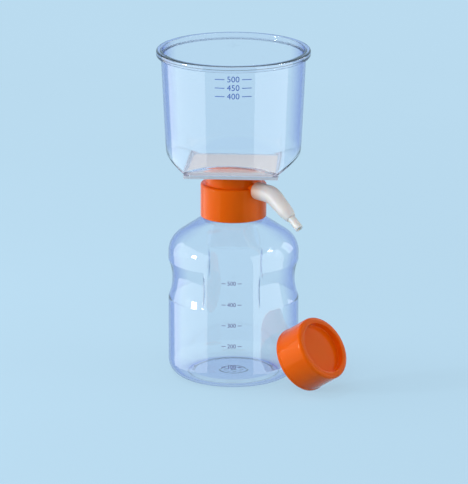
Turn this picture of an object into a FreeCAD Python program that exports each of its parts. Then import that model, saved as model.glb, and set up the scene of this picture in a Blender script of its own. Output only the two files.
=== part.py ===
import FreeCAD, Part
import math
import os
import Sketcher

# A vacuum filtration unit: a funnel with a square membrane, screwed by its neck adapter on a
# receiver bottle, with an angled hose connector and the bottle's own cap beside it.
# Millimetres, +Z up, origin in the middle of the bottle's base, on the surface it stands on.

SIZES = [
    # bottle
    ("bottle_radius", 46.9, "outside of the bottle's wall"),
    ("bottle_wall", 1.5, "wall of the bottle"),
    ("heel_radius", 12.0, "outer rounding from the side to the base"),
    ("foot_width", 2.9, "width of the ring the bottle stands on"),
    ("pushup_step", 2.0, "width of the slope from the foot ring to the base panel"),
    ("pushup_height", 1.6, "how far the base panel stands above the foot ring"),
    ("shoulder_angle", 34.3, "slope of the shoulder above horizontal, degrees"),
    ("shoulder_blend", 16.0, "rounding between side and shoulder"),
    ("shoulder_top", 118.2, "height at which the shoulder meets the neck"),
    ("neck_blend", 2.0, "rounding between shoulder and neck"),
    ("neck_radius", 20.7, "outside of the neck at the root of its thread"),
    ("neck_wall", 1.8, "wall of the neck"),
    ("neck_height", 17.8, "height of the neck above the shoulder"),
    ("bottle_turn", 1.9, "turn of the finger grips against the square of the funnel, degrees"),
    ("grip_middle", 72.2, "height of the middle of the finger grips"),
    ("grip_half_height", 13.9, "half the height of a finger grip"),
    ("grip_depth", 2.8, "depth of a finger grip"),
    ("grip_span", 129.0, "angle that one finger grip covers, degrees"),
    # screw thread of bottle, adapter and cap
    ("thread_lead", 5.0, "rise of the thread in one turn"),
    ("thread_turns", 1.25, "turns of each thread"),
    ("thread_height", 1.1, "how far the neck's thread stands out"),
    ("thread_base", 2.2, "width of a thread ridge at its root"),
    ("thread_crest", 1.0, "width of a thread ridge at its crest"),
    ("thread_below_mouth", 12.0, "start of the neck's thread below the mouth"),
    ("skirt_gap", 0.35, "gap between the neck's thread and the skirt around it"),
    ("skirt_thread_height", 1.05, "how far the skirt's own thread stands in"),
    # neck adapter
    ("skirt_wall", 1.6, "wall of the adapter's skirt"),
    ("skirt_foot_gap", 0.1, "height of the skirt's lower edge above the top of the shoulder"),
    ("skirt_above_mouth", 6.4, "height of the skirt's top above the bottle's mouth"),
    ("skirt_edge", 1.4, "rounding of the skirt's top edge"),
    ("upper_neck_height", 10.8, "height of the adapter's upper neck above its skirt"),
    ("upper_neck_wall", 1.8, "wall of the adapter's upper neck"),
    ("shelf_lap", 0.5, "how far the adapter's shelf reaches in past the neck's bore"),
    ("gasket_thickness", 1.5, "thickness of the neck gasket"),
    ("gasket_gap", 0.25, "gap around the neck gasket"),
    # vacuum port, on the adapter's side
    ("port_azimuth", -45.0, "direction of the vacuum port about +Z from +X, degrees"),
    ("port_floor", 0.7, "height of the port's bore above the gasket's shelf"),
    ("port_bore", 3.2, "inside of the port's stub"),
    ("port_wall", 1.2, "wall of the port's stub"),
    ("port_length", 11.25, "how far the stub stands out of the skirt"),
    ("plug_gap", 0.1, "gap around the fibre plug in the port"),
    ("plug_inset", 0.25, "distance of the fibre plug from the outside of the skirt"),
    ("plug_length", 8.0, "length of the fibre plug"),
    # hose connector
    ("sleeve_gap", 0.05, "running gap between the stub and the connector's sleeve"),
    ("sleeve_wall", 1.9, "wall of the connector's sleeve"),
    ("sleeve_start_gap", 1.9, "gap between the skirt and the sleeve's open end"),
    ("sleeve_end_gap", 1.0, "room between the stub's end and the bottom of the sleeve"),
    ("elbow_reach", 6.7, "distance of the elbow beyond the stub's end"),
    ("nozzle_angle", 33.0, "how far the nozzle points down from the port's axis, degrees"),
    ("nozzle_root_inset", 0.05, "how much slimmer the nozzle starts than the sleeve"),
    ("nozzle_shoulder_radius", 5.2, "radius of the nozzle where it starts to narrow faster"),
    ("nozzle_shoulder", 19.0, "distance from the elbow to that place"),
    ("nozzle_step_radius", 3.7, "radius of the nozzle's cone at its step"),
    ("nozzle_step", 24.2, "distance from the elbow to the nozzle's step"),
    ("nozzle_tip_radius", 2.95, "radius of the nozzle's tip"),
    ("nozzle_tip_length", 10.8, "length of the nozzle's tip beyond the step"),
    ("nozzle_bore", 1.5, "radius of the passage through the nozzle"),
    ("elbow_bore", 2.0, "radius of the passage from the sleeve into the elbow"),
    # support plate and membrane
    ("plate_half", 33.75, "half the side of the square plate and of the funnel's square base"),
    ("plate_thickness", 2.0, "thickness of the support plate"),
    ("square_corner", 0.8, "rounding of the funnel's upright corners"),
    ("membrane_thickness", 0.2, "thickness of the membrane"),
    ("membrane_margin", 1.65, "distance from the membrane's edge to the plate's edge"),
    ("membrane_gap", 0.2, "gap around the membrane in its recess"),
    ("well_margin", 4.25, "distance from the well under the membrane to the plate's edge"),
    ("rib_height", 0.9, "height of the ribs in the well"),
    ("rib_width", 0.9, "width of a rib"),
    ("rib_count", 13.0, "number of ribs"),
    ("rib_end_gap", 2.0, "channel left at each end of the ribs"),
    ("drain_channel", 5.0, "width of the channel that crosses the ribs to the drain"),
    ("spout_wall", 1.6, "wall of the drip spout"),
    ("spout_bore", 3.4, "inside of the drip spout"),
    ("spout_length", 25.2, "how far the drip spout hangs below the plate"),
    ("locating_ring_height", 2.5, "depth of the ring that centres the plate on the adapter"),
    ("locating_ring_wall", 1.6, "wall of that ring"),
    ("locating_gap", 0.2, "gap between that ring and the adapter's chamber"),
    # funnel
    ("funnel_height", 85.5, "height of the funnel above the plate"),
    ("cup_corner_gap", 0.27, "how far the round cup stands outside the square's corners"),
    ("cup_flare", 4.2, "how much wider the round cup is at the rim than at the plate"),
    ("cup_wall", 1.8, "wall of the funnel"),
    ("facet_rise", 1.0, "height of the square's upright wall below its facets"),
    ("facet_angle", 31.5, "slope of the four facets above horizontal, degrees"),
    ("square_wall", 2.95, "wall of the square around the membrane"),
    ("rim_width", 3.1, "how far the rim bead stands outside the cup"),
    ("rim_height", 4.7, "height of the rim bead"),
    ("rim_edge", 1.3, "rounding of the rim bead"),
    ("lid_seat_inset", 1.2, "distance from the cup's outside to the lid seat"),
    ("lid_seat_depth", 3.2, "depth of the lid seat"),
    # screw cap
    ("cap_wall", 1.55, "wall of the cap's skirt"),
    ("cap_height", 24.0, "height of the cap"),
    ("cap_edge", 2.3, "rounding of the cap's top edge"),
    ("cap_ring_width", 4.9, "width of the raised ring around the cap's top"),
    ("cap_recess_depth", 4.7, "depth of the hollow in the cap's top"),
    ("cap_top_wall", 1.8, "thickness of the cap's top"),
    ("cap_seal_gap", 0.2, "gap between the cap's seal ring and the neck's bore"),
    ("cap_seal_wall", 1.1, "wall of the cap's seal ring"),
    ("cap_seal_height", 3.0, "height of the cap's seal ring"),
    ("cap_bead", 0.3, "how far the bead at the cap's open edge stands out"),
    ("cap_bead_height", 2.0, "height of that bead"),
    ("cap_lean", 33.0, "elevation of the leaning cap's axis, degrees"),
    ("cap_azimuth", -33.0, "direction in which the leaning cap lies, degrees"),
    ("cap_rest_gap", 0.3, "gap left where the cap leans on the bottle"),
]

PARTS_FOLDER = "parts"
AXIS_TURN = FreeCAD.Vector(0, 0, 1)
RIGHT_ANGLE = 90.0
FULL_TURN = 360.0
THREAD_BITE = 0.3  # how deep a thread ridge starts inside its wall, as a share of its crest
CLOSE = 0.01  # edges are told apart by their places to within this many millimetres


class Size:
    """A number together with the sheet formula that gives it."""

    def __init__(self, value, formula):
        self.value = float(value)
        self.formula = formula

    def joined(self, other, sign, value):
        other = as_size(other)
        return Size(value(self.value, other.value), f"({self.formula} {sign} {other.formula})")

    def __add__(self, other):
        return self.joined(other, "+", lambda a, b: a + b)

    def __sub__(self, other):
        return self.joined(other, "-", lambda a, b: a - b)

    def __mul__(self, other):
        return self.joined(other, "*", lambda a, b: a * b)

    def __truediv__(self, other):
        return self.joined(other, "/", lambda a, b: a / b)

    def __neg__(self):
        return as_size(0) - self


def as_size(value):
    """A plain number as a Size."""
    return value if isinstance(value, Size) else Size(value, repr(float(value)))


def sine(angle):
    return Size(math.sin(math.radians(angle.value)), f"sin({angle.formula})")


def cosine(angle):
    return Size(math.cos(math.radians(angle.value)), f"cos({angle.formula})")


def tangent(angle):
    return Size(math.tan(math.radians(angle.value)), f"tan({angle.formula})")


def root(square):
    return Size(math.sqrt(square.value), f"sqrt({square.formula})")


class Sheet:
    """The driving dimensions, kept in the document's spreadsheet."""

    def __init__(self, document, rows):
        self.cells = document.addObject("Spreadsheet::Sheet", "Sizes")
        for row, (alias, value, meaning) in enumerate(rows, start=1):
            self.cells.set(f"A{row}", meaning)
            self.cells.set(f"B{row}", str(value))
            self.cells.setAlias(f"B{row}", alias)
        document.recompute()
        self.names = {alias for alias, _, _ in rows}

    def __getattr__(self, alias):
        if alias not in self.names:
            raise AttributeError(alias)
        return Size(self.cells.get(alias), f"Sizes.{alias}")


class Places:
    """Sizes and places that follow from the sheet, used by more than one piece."""

    def __init__(self, sheet):
        s = sheet
        self.mouth = s.shoulder_top + s.neck_height
        self.neck_bore = s.neck_radius - s.neck_wall
        self.thread_start = self.mouth - s.thread_below_mouth
        # a skirt that screws over the bottle's neck clears its thread by the gap
        self.skirt_bore = s.neck_radius + s.thread_height + s.skirt_gap
        self.skirt_radius = self.skirt_bore + s.skirt_wall
        self.skirt_top = self.mouth + s.skirt_above_mouth
        self.shelf = self.mouth + s.gasket_thickness
        self.chamber_radius = self.neck_bore - s.shelf_lap
        self.port_height = self.shelf + s.port_floor + s.port_bore
        self.port_radius = s.port_bore + s.port_wall
        self.port_end = self.skirt_radius + s.port_length
        self.elbow = self.port_end + s.elbow_reach
        self.sleeve_radius = self.port_radius + s.sleeve_gap + s.sleeve_wall
        self.plate_bottom = self.skirt_top + s.upper_neck_height
        self.plate_top = self.plate_bottom + s.plate_thickness
        self.membrane_bottom = self.plate_top - s.membrane_thickness
        self.membrane_half = s.plate_half - s.membrane_margin
        self.funnel_top = self.plate_top + s.funnel_height
        self.cup_foot_radius = s.plate_half * root(as_size(2)) + s.cup_corner_gap
        self.cup_top_radius = self.cup_foot_radius + s.cup_flare
        self.rim_radius = self.cup_top_radius + s.rim_width


def bind(thing, prop, size):
    """Set a property and tie it to the sheet."""
    size = as_size(size)
    if "." not in prop:
        counts = isinstance(getattr(thing, prop), int)
        setattr(thing, prop, round(size.value) if counts else size.value)
    thing.setExpression(prop, size.formula)


def new_body(label, turn=None):
    """An empty body, turned about +Z if asked."""
    body = doc.addObject("PartDesign::Body", label)
    body.Label = label
    if turn is not None:
        body.Placement = FreeCAD.Placement(FreeCAD.Vector(), FreeCAD.Rotation(AXIS_TURN, turn.value))
        body.setExpression("Placement.Rotation.Angle", turn.formula)
    return body


def plane_of(body, role):
    for feature in body.Origin.OriginFeatures:
        if feature.Role == role:
            return feature
    raise ValueError(role)


def new_sketch(body, name, role, offset=None):
    """A sketch on one of the body's own origin planes, moved along the plane's normal if asked."""
    sketch = body.newObject("Sketcher::SketchObject", name)
    sketch.AttachmentSupport = [(plane_of(body, role), "")]
    sketch.MapMode = "FlatFace"
    if offset is not None:
        sketch.AttachmentOffset = FreeCAD.Placement(
            FreeCAD.Vector(0, 0, offset.value), FreeCAD.Rotation()
        )
        sketch.setExpression("AttachmentOffset.Base.z", offset.formula)
    return sketch


def pin_point(sketch, geometry, end, across, up):
    """Fix one end of an edge at two sheet-driven coordinates."""
    for kind, size, axis in (("DistanceX", across, -2), ("DistanceY", up, -1)):
        if size.value == 0 and size.formula == "0.0":
            sketch.addConstraint(Sketcher.Constraint("PointOnObject", geometry, end, axis))
            continue
        index = sketch.addConstraint(
            Sketcher.Constraint(kind, -1, 1, geometry, end, size.value)
        )
        sketch.setExpression(f"Constraints[{index}]", size.formula)


def arc_between(start, finish, radius, side):
    """The short arc from start to finish; side is +1 for counter-clockwise, -1 for clockwise."""
    chord = finish - start
    half = chord.Length / 2
    middle = (start + finish) * 0.5
    reach = math.sqrt(max(radius**2 - half**2, 0.0))
    left = FreeCAD.Vector(-chord.y, chord.x, 0).normalize()
    centre = middle + left * (reach * side)
    first, last = (start, finish) if side > 0 else (finish, start)
    angles = [math.atan2(p.y - centre.y, p.x - centre.x) for p in (first, last)]
    if angles[1] < angles[0]:
        angles[1] += 2 * math.pi
    circle = Part.Circle(centre, FreeCAD.Vector(0, 0, 1), radius)
    return Part.ArcOfCircle(circle, angles[0], angles[1])


def draw_outline(sketch, corners):
    """A closed outline. Each corner is (across, up) or (across, up, radius, side): with a radius,
    the edge that leaves the corner is an arc."""
    points = [(as_size(c[0]), as_size(c[1])) for c in corners]
    vectors = [FreeCAD.Vector(a.value, u.value, 0) for a, u in points]
    ends = []
    for i, corner in enumerate(corners):
        start, finish = vectors[i], vectors[(i + 1) % len(corners)]
        if len(corner) == 2:
            geometry = sketch.addGeometry(Part.LineSegment(start, finish))
            ends.append((geometry, 1, 2))
        else:
            radius, side = as_size(corner[2]), corner[3]
            geometry = sketch.addGeometry(arc_between(start, finish, radius.value, side))
            ends.append((geometry, 1, 2) if side > 0 else (geometry, 2, 1))
            index = sketch.addConstraint(Sketcher.Constraint("Radius", geometry, radius.value))
            sketch.setExpression(f"Constraints[{index}]", radius.formula)
    for i, (geometry, _, finish) in enumerate(ends):
        following, begin, _ = ends[(i + 1) % len(ends)]
        sketch.addConstraint(
            Sketcher.Constraint("Coincident", geometry, finish, following, begin)
        )
    for (geometry, start, _), (across, up) in zip(ends, points):
        pin_point(sketch, geometry, start, across, up)


def draw_axis(sketch, start, finish):
    """A construction line between two pinned points, to turn a profile about."""
    points = [(as_size(a), as_size(u)) for a, u in (start, finish)]
    vectors = [FreeCAD.Vector(a.value, u.value, 0) for a, u in points]
    geometry = sketch.addGeometry(Part.LineSegment(*vectors), True)
    for end, (across, up) in enumerate(points, start=1):
        pin_point(sketch, geometry, end, across, up)


def turned(body, name, corners, kind="Revolution", span=None, axis=None, role="XZ_Plane"):
    """A profile turned about +Z, or about the given axis line, added or cut away."""
    sketch = new_sketch(body, name + "Profile", role)
    draw_outline(sketch, corners)
    if axis is not None:
        draw_axis(sketch, *axis)
    before = body.Shape.Volume if body.Tip else 0.0
    feature = body.newObject("PartDesign::" + kind, name)
    feature.Profile = sketch
    feature.ReferenceAxis = (sketch, ["V_Axis" if axis is None else "Axis0"])
    feature.Angle = FULL_TURN
    if span is not None:
        bind(feature, "Angle", span)
        feature.Midplane = True
    doc.recompute()
    check_change(body, name, before, kind == "Revolution")
    return feature


def prism(body, name, corners, base, height, kind="Pad"):
    """A level outline carried straight up from base, added or cut away."""
    sketch = new_sketch(body, name + "Outline", "XY_Plane", as_size(base))
    draw_outline(sketch, corners)
    before = body.Shape.Volume if body.Tip else 0.0
    feature = body.newObject("PartDesign::" + kind, name)
    feature.Profile = sketch
    bind(feature, "Length", height)
    feature.Reversed = kind == "Pocket"
    doc.recompute()
    check_change(body, name, before, kind == "Pad")
    return feature


def check_change(body, name, before, adds):
    """Stop if a feature left the volume as it was or moved it the wrong way."""
    change = body.Shape.Volume - before
    if (change > 0) != adds or abs(change) < 1e-6:
        raise RuntimeError(f"{body.Label}.{name} changed the volume by {change:.3f} mm3")


def thread(body, name, wall, crest_reach, start):
    """A helical ridge on the wall; crest_reach is positive outwards and negative inwards."""
    sketch = new_sketch(body, name + "Section", "XZ_Plane")
    inward = crest_reach.value < 0
    bite = sizes.thread_crest * THREAD_BITE
    foot = wall + bite if inward else wall - bite
    half_base, half_crest = sizes.thread_base / 2, sizes.thread_crest / 2
    corners = [
        (foot, start - half_base),
        (foot, start + half_base),
        (wall + crest_reach, start + half_crest),
        (wall + crest_reach, start - half_crest),
    ]
    draw_outline(sketch, corners)
    before = body.Shape.Volume
    feature = body.newObject("PartDesign::AdditiveHelix", name)
    feature.Profile = sketch
    feature.ReferenceAxis = (sketch, ["V_Axis"])
    feature.Mode = "pitch-turns-angle"
    bind(feature, "Pitch", sizes.thread_lead)
    bind(feature, "Turns", sizes.thread_turns)
    doc.recompute()
    check_change(body, name, before, True)
    return feature


def repeated(body, features, name, count):
    """The features repeated about +Z."""
    before = body.Shape.Volume
    pattern = body.newObject("PartDesign::PolarPattern", name)
    pattern.Originals = features
    pattern.Axis = (features[0].Profile[0], ["V_Axis"])
    pattern.Angle = FULL_TURN
    pattern.Occurrences = count
    body.Tip = pattern
    doc.recompute()
    if abs(body.Shape.Volume - before) < 1e-6:
        raise RuntimeError(f"{body.Label}.{name} repeated nothing")
    return pattern


def square(half):
    return [(-half, -half), (half, -half), (half, half), (-half, half)]


def strip(half_across, half_up):
    return [
        (-half_across, -half_up),
        (half_across, -half_up),
        (half_across, half_up),
        (-half_across, half_up),
    ]


def build_bottle():
    """Blown bottle: one wall of even thickness from the base panel to the mouth, two finger
    grips pressed into it, and a thread on the neck."""
    body = new_body("bottle", sizes.bottle_turn)
    radius, wall, heel = sizes.bottle_radius, sizes.bottle_wall, sizes.heel_radius
    slope, blend = sizes.shoulder_angle, sizes.shoulder_blend
    neck, blend_neck = sizes.neck_radius, sizes.neck_blend
    half_turn = (as_size(RIGHT_ANGLE) - slope) / 2
    # the corner where side and shoulder would meet, and the run that the rounding takes off it
    corner = sizes.shoulder_top - (radius - neck) * tangent(slope)
    run = blend * tangent(half_turn)
    run_neck = blend_neck * tangent(half_turn)
    side_end = corner - run
    cone_across = radius - run * cosine(slope)
    cone_up = corner + run * sine(slope)
    inner_neck_up = sizes.shoulder_top + sizes.neck_wall * tangent(slope) - wall / cosine(slope)
    foot_edge = radius - heel
    foot = foot_edge - sizes.foot_width
    step, panel = sizes.pushup_step, sizes.pushup_height
    outside = [
        (0, panel),
        (foot - step, panel),
        (foot, 0),
        (foot_edge, 0, heel, +1),
        (radius, heel),
        (radius, side_end, blend, +1),
        (cone_across, cone_up),
        (neck + run_neck * cosine(slope), sizes.shoulder_top - run_neck * sine(slope), blend_neck, -1),
        (neck, sizes.shoulder_top + run_neck),
        (neck, places.mouth),
    ]
    inside = [
        (places.neck_bore, places.mouth),
        (places.neck_bore, inner_neck_up),
        (cone_across - wall * sine(slope), cone_up - wall * cosine(slope), blend - wall, -1),
        (radius - wall, side_end),
        (radius - wall, heel, heel - wall, -1),
        (foot_edge, wall),
        (foot, wall),
        (foot - step, panel + wall),
        (0, panel + wall),
    ]
    turned(body, "Wall", outside + inside)
    build_grips(body)
    thread(body, "NeckThread", neck, sizes.thread_height, places.thread_start)
    return body


def build_grips(body):
    """A grip is a shallow round-bottomed band over part of the side: the wall is first
    thickened inwards, then the band is cut from outside, so its wall stays even."""
    radius, wall = sizes.bottle_radius, sizes.bottle_wall
    middle, half, depth = sizes.grip_middle, sizes.grip_half_height, sizes.grip_depth
    bend = (half * half + depth * depth) / (depth * 2)
    inner_half = root((bend * 2 + wall * 2 - depth) * depth)
    clear = depth  # the cutting profile starts this far outside the wall
    filler = [
        (radius - wall / 2, middle - inner_half),
        (radius - wall / 2, middle + inner_half),
        (radius - wall, middle + inner_half, bend + wall, +1),
        (radius - wall, middle - inner_half),
    ]
    hollow = [
        (radius + clear, middle - half),
        (radius + clear, middle + half),
        (radius, middle + half, bend, +1),
        (radius, middle - half),
    ]
    wall_turn = wall / radius * math.degrees(2.0)
    backing = turned(body, "GripWall", filler, span=sizes.grip_span + wall_turn)
    cut = turned(body, "GripHollow", hollow, kind="Groove", span=sizes.grip_span)
    repeated(body, [backing, cut], "BothGrips", 2)


def meshing_start(frame_turn):
    """Height at which a skirt's thread starts so that it lies midway between the turns of the
    neck's thread, for a skirt whose own +X is turned by frame_turn degrees."""
    turned_on = (frame_turn - sizes.bottle_turn) / FULL_TURN
    return places.thread_start + sizes.thread_lead * (turned_on + 0.5)


def build_gasket():
    """Flat ring between the bottle's mouth and the adapter's shelf."""
    body = new_body("neck_gasket")
    inner, outer = places.neck_bore, places.skirt_bore - sizes.gasket_gap
    low, high = places.mouth, places.shelf
    ring = [(inner, low), (outer, low), (outer, high), (inner, high)]
    turned(body, "Ring", ring)
    return body


def build_adapter():
    """Threaded skirt below, vacuum chamber above, and the stub of the vacuum port at the side.
    Its own +X points along the port."""
    body = new_body("neck_adapter", sizes.port_azimuth)
    outer, edge = places.skirt_radius, sizes.skirt_edge
    bottom = sizes.shoulder_top + sizes.skirt_foot_gap
    top, plate = places.skirt_top, places.plate_bottom
    upper_neck = places.chamber_radius + sizes.upper_neck_wall
    outside = [
        (0, bottom),
        (outer, bottom),
        (outer, top - edge, edge, +1),
        (outer - edge, top),
        (upper_neck, top),
        (upper_neck, plate),
        (0, plate),
    ]
    turned(body, "Outside", outside)
    axis = ((0, places.port_height), (places.port_end, places.port_height))
    turned(body, "PortStub", bar_along(axis, places.port_radius), axis=axis)
    inside = [
        (0, bottom),
        (places.skirt_bore, bottom),
        (places.skirt_bore, places.shelf),
        (places.chamber_radius, places.shelf),
        (places.chamber_radius, plate),
        (0, plate),
    ]
    turned(body, "Inside", inside, kind="Groove")
    turned(body, "PortBore", bar_along(axis, sizes.port_bore), kind="Groove", axis=axis)
    thread(body, "SkirtThread", places.skirt_bore, -sizes.skirt_thread_height,
           meshing_start(sizes.port_azimuth))
    return body


def bar_along(axis, radius):
    """Half section of a round bar about a level axis line."""
    (start, level), (finish, _) = axis
    level = as_size(level)
    return [(start, level), (finish, level), (finish, level + radius), (start, level + radius)]


def along_nozzle(distance, aside):
    """A point of the nozzle's profile, in the upright plane of the port: distance runs from the
    elbow towards the tip, aside is the distance from the nozzle's axis, upwards."""
    lean = sizes.nozzle_angle
    distance, aside = as_size(distance), as_size(aside)
    across = places.elbow + distance * cosine(lean) + aside * sine(lean)
    up = places.port_height - distance * sine(lean) + aside * cosine(lean)
    return across, up


def build_connector():
    """Sleeve over the port's stub, elbow, and a tapered nozzle with one step."""
    body = new_body("hose_connector", sizes.port_azimuth)
    level, elbow, outer = places.port_height, places.elbow, places.sleeve_radius
    bore = places.port_radius + sizes.sleeve_gap
    start = places.skirt_radius + sizes.sleeve_start_gap
    floor = places.port_end + sizes.sleeve_end_gap
    axis = ((0, level), (elbow, level))
    sleeve = [
        (start, level + bore),
        (floor, level + bore),
        (floor, level),
        (elbow, level),
        (elbow, level + outer),
        (start, level + outer),
    ]
    turned(body, "Sleeve", sleeve, axis=axis)
    ball = [
        (elbow - outer, level),
        (elbow + outer, level, outer, +1),
        (elbow, level + outer, outer, +1),
    ]
    turned(body, "Elbow", ball, axis=axis)
    end = sizes.nozzle_step + sizes.nozzle_tip_length
    nozzle_axis = (along_nozzle(0, 0), along_nozzle(end, 0))
    nozzle = [
        along_nozzle(0, 0),
        along_nozzle(end, 0),
        along_nozzle(end, sizes.nozzle_tip_radius),
        along_nozzle(sizes.nozzle_step, sizes.nozzle_tip_radius),
        along_nozzle(sizes.nozzle_step, sizes.nozzle_step_radius),
        along_nozzle(sizes.nozzle_shoulder, sizes.nozzle_shoulder_radius),
        along_nozzle(0, outer - sizes.nozzle_root_inset),
    ]
    turned(body, "Nozzle", nozzle, axis=nozzle_axis)
    passage = [
        along_nozzle(0, 0),
        along_nozzle(end, 0),
        along_nozzle(end, sizes.nozzle_bore),
        along_nozzle(0, sizes.nozzle_bore),
    ]
    turned(body, "NozzleBore", passage, kind="Groove", axis=nozzle_axis)
    back = ((places.port_end, level), (elbow + sizes.nozzle_bore, level))
    turned(body, "ElbowBore", bar_along(back, sizes.elbow_bore), kind="Groove", axis=axis)
    return body


def build_vent_plug():
    """Plug of fibre inside the port's stub, a plain round bar along the port."""
    plug = doc.addObject("Part::Cylinder", "vent_plug")
    plug.Label = "vent_plug"
    bind(plug, "Radius", sizes.port_bore - sizes.plug_gap)
    bind(plug, "Height", sizes.plug_length)
    azimuth = sizes.port_azimuth
    start = places.skirt_radius + sizes.plug_inset
    lay_down = FreeCAD.Rotation(FreeCAD.Vector(0, 1, 0), RIGHT_ANGLE)
    turn = FreeCAD.Rotation(AXIS_TURN, azimuth.value)
    plug.Placement = FreeCAD.Placement(FreeCAD.Vector(), turn.multiply(lay_down))
    bind(plug, "Placement.Base.x", start * cosine(azimuth))
    bind(plug, "Placement.Base.y", start * sine(azimuth))
    bind(plug, "Placement.Base.z", places.port_height)
    return plug


def build_support_plate():
    """Square plate with a ribbed well under the membrane, a drip spout, and a ring that centres
    it on the adapter."""
    body = new_body("support_plate")
    bottom, seat = places.plate_bottom, places.membrane_bottom
    floor = seat - sizes.rib_height
    well_half = sizes.plate_half - sizes.well_margin
    prism(body, "Plate", square(sizes.plate_half), bottom, sizes.plate_thickness)
    prism(body, "MembraneSeat", square(places.membrane_half + sizes.membrane_gap), seat,
          sizes.membrane_thickness, kind="Pocket")
    prism(body, "Well", square(well_half), floor, sizes.rib_height, kind="Pocket")
    build_ribs(body, floor, well_half - sizes.rib_end_gap)
    prism(body, "DrainChannel", strip(well_half, sizes.drain_channel / 2), floor,
          sizes.rib_height, kind="Pocket")
    joint = bottom + (floor - bottom) / 2
    drip_end = bottom - sizes.spout_length
    bore, spout_radius = sizes.spout_bore, sizes.spout_bore + sizes.spout_wall
    spout = [(bore, drip_end), (spout_radius, drip_end), (spout_radius, joint), (bore, joint)]
    turned(body, "Spout", spout)
    drain = [(0, drip_end), (bore, drip_end), (bore, seat), (0, seat)]
    turned(body, "Drain", drain, kind="Groove")
    ring_outer = places.chamber_radius - sizes.locating_gap
    ring_inner = ring_outer - sizes.locating_ring_wall
    ring = [
        (ring_inner, bottom - sizes.locating_ring_height),
        (ring_outer, bottom - sizes.locating_ring_height),
        (ring_outer, joint),
        (ring_inner, joint),
    ]
    turned(body, "LocatingRing", ring)
    return body


def build_ribs(body, floor, reach):
    """Parallel ribs from one side of the well to the other, evenly spaced."""
    half = sizes.rib_width / 2
    outline = [(half - reach, -reach), (half * 3 - reach, -reach),
               (half * 3 - reach, reach), (half - reach, reach)]
    first = prism(body, "FirstRib", outline, floor, sizes.rib_height)
    pattern = body.newObject("PartDesign::LinearPattern", "Ribs")
    pattern.Originals = [first]
    pattern.Direction = (first.Profile[0], ["H_Axis"])
    bind(pattern, "Length", (reach - half * 2) * 2)
    bind(pattern, "Occurrences", sizes.rib_count)
    body.Tip = pattern
    doc.recompute()


def build_membrane():
    """Square filter sheet, flush with the top of the plate."""
    sheet = doc.addObject("Part::Box", "membrane")
    sheet.Label = "membrane"
    side = places.membrane_half * 2
    bind(sheet, "Length", side)
    bind(sheet, "Width", side)
    bind(sheet, "Height", sizes.membrane_thickness)
    bind(sheet, "Placement.Base.x", -places.membrane_half)
    bind(sheet, "Placement.Base.y", -places.membrane_half)
    bind(sheet, "Placement.Base.z", places.membrane_bottom)
    return sheet


def funnel_prism(name, half, upright, rise, reach, along_y):
    """The square foot and two sloping facets of the funnel as one long bar: the part of space
    that the facets leave, extruded across the cup."""
    bottom = places.plate_top
    spread = (reach - half) * tangent(sizes.facet_angle)
    top = places.funnel_top + sizes.rim_height
    corners = [
        (-half, bottom),
        (half, bottom),
        (half, bottom + upright),
        (reach, bottom + upright + spread),
        (reach, top),
        (-reach, top),
        (-reach, bottom + upright + spread),
        (-half, bottom + upright),
    ]
    sketch = doc.addObject("Sketcher::SketchObject", name + "Outline")
    tilt = FreeCAD.Rotation(FreeCAD.Vector(1, 0, 0), RIGHT_ANGLE)
    turn = FreeCAD.Rotation(AXIS_TURN, RIGHT_ANGLE if along_y else 0)
    sketch.Placement = FreeCAD.Placement(FreeCAD.Vector(), turn.multiply(tilt))
    draw_outline(sketch, corners)
    bar = doc.addObject("Part::Extrusion", name)
    bar.Base = sketch
    bar.DirMode = "Normal"
    bind(bar, "LengthFwd", rise)
    bar.Symmetric = True
    bar.Solid = True
    return bar


def funnel_cone(name, inset, margin):
    """The tapered round cup, drawn in by inset; margin carries it past both ends."""
    widening = sizes.cup_flare / sizes.funnel_height
    margin = as_size(margin)
    cone = doc.addObject("Part::Cone", name)
    bind(cone, "Radius1", places.cup_foot_radius - inset - widening * margin)
    bind(cone, "Radius2", places.cup_top_radius - inset + widening * margin)
    bind(cone, "Height", sizes.funnel_height + margin * 2)
    bind(cone, "Placement.Base.z", places.plate_top - margin)
    return cone


def disc(name, radius, low, high):
    cylinder = doc.addObject("Part::Cylinder", name)
    bind(cylinder, "Radius", radius)
    bind(cylinder, "Height", high - low)
    bind(cylinder, "Placement.Base.z", low)
    return cylinder


def combine(kind, name, shapes):
    result = doc.addObject("Part::" + kind, name)
    result.Shapes = shapes
    doc.recompute()
    return result


def cut(name, base, tool):
    result = doc.addObject("Part::Cut", name)
    result.Base = base
    result.Tool = tool
    doc.recompute()
    return result


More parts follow.
